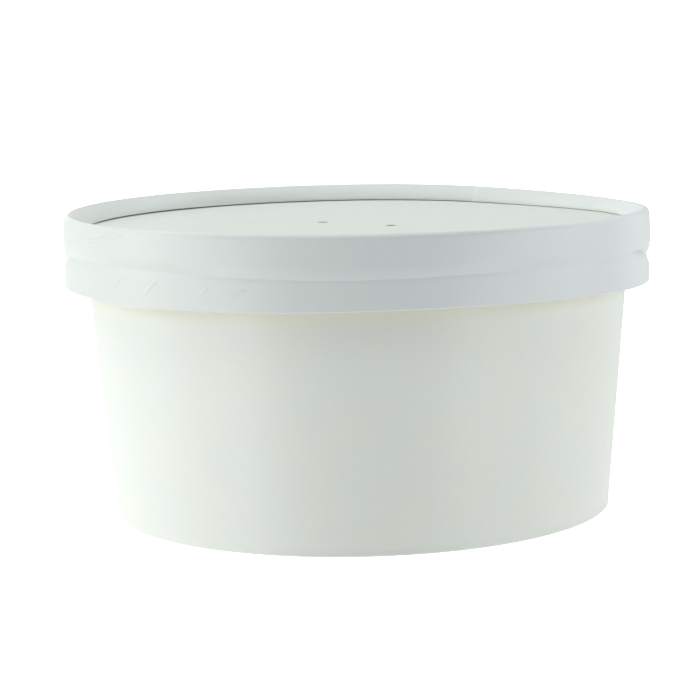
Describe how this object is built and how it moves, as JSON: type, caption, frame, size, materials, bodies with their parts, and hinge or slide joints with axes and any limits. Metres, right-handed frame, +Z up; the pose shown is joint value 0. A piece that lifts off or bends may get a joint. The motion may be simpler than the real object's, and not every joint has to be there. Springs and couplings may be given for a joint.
{
  "type": "takeaway salad bowl",
  "caption": "Round white paperboard takeaway bowl with a tapered wall, shut by a paperboard lid: a beaded band round a sunken flat disc with steam vents.",
  "frame": {"origin": "centre of the foot, on the surface that the bowl stands on", "axes": "+Z up along the bowl's axis, +Y away from the viewer of the picture, +X to the viewer's right"},
  "size_m": [0.155, 0.155, 0.0806],
  "materials": {
    "bowl_board": "satin, thin coating over fine paper fibre",
    "base_board": "matt",
    "band_paper": "satin, a touch bluer than the bowl",
    "lid_board": "satin"
  },
  "bodies": {
    "root": {"bowl": "bowl_board", "base_disc": "base_board", "lid_ring": "band_paper", "lid_disc": "lid_board"}
  },
  "joints": []
}
